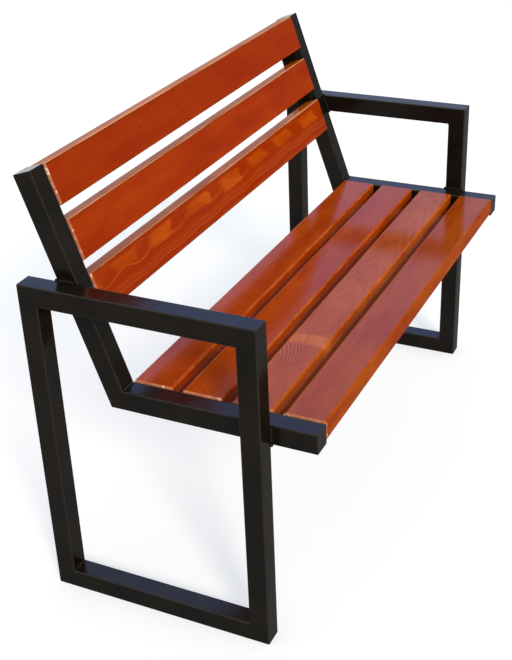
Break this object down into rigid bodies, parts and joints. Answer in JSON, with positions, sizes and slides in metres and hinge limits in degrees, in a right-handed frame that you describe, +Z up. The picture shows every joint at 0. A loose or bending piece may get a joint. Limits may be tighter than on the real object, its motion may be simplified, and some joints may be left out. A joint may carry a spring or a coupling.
{
  "type": "park bench",
  "caption": "Park bench with varnished timber slats screwed to welded square-tube side frames, each side a closed loop that forms legs, armrest and floor rail.",
  "frame": {"origin": "on the ground, at the middle of the bench's overall length and overall depth", "axes": "+X along the bench, -Y towards the front where a person's legs hang, +Z up"},
  "size_m": [1.21, 0.5572, 0.8721],
  "materials": {
    "powder_coat": "gloss black powder coat",
    "varnished_timber": "gloss mahogany varnish on softwood",
    "zinc_plate": "zinc plated"
  },
  "bodies": {
    "root": {"left_front_leg": "powder_coat", "left_rear_leg": "powder_coat", "left_armrest": "powder_coat", "left_floor_rail": "powder_coat", "left_seat_bearer": "powder_coat", "left_back_upright": "powder_coat", "left_bearer_cap": "powder_coat", "left_upright_cap": "powder_coat", "left_seat_strip": "powder_coat", "left_back_strip": "powder_coat", "left_welds": "powder_coat", "right_front_leg": "powder_coat", "right_rear_leg": "powder_coat", "right_armrest": "powder_coat", "right_floor_rail": "powder_coat", "right_seat_bearer": "powder_coat", "right_back_upright": "powder_coat", "right_bearer_cap": "powder_coat", "right_upright_cap": "powder_coat", "right_seat_strip": "powder_coat", "right_back_strip": "powder_coat", "right_welds": "powder_coat", "seat_slat_1": "varnished_timber", "seat_slat_2": "varnished_timber", "seat_slat_3": "varnished_timber", "seat_slat_4": "varnished_timber", "back_slat_1": "varnished_timber", "back_slat_2": "varnished_timber", "back_slat_3": "varnished_timber", "seat_screws": "zinc_plate", "seat_washers": "zinc_plate", "back_screws": "zinc_plate", "back_washers": "zinc_plate"}
  },
  "joints": []
}
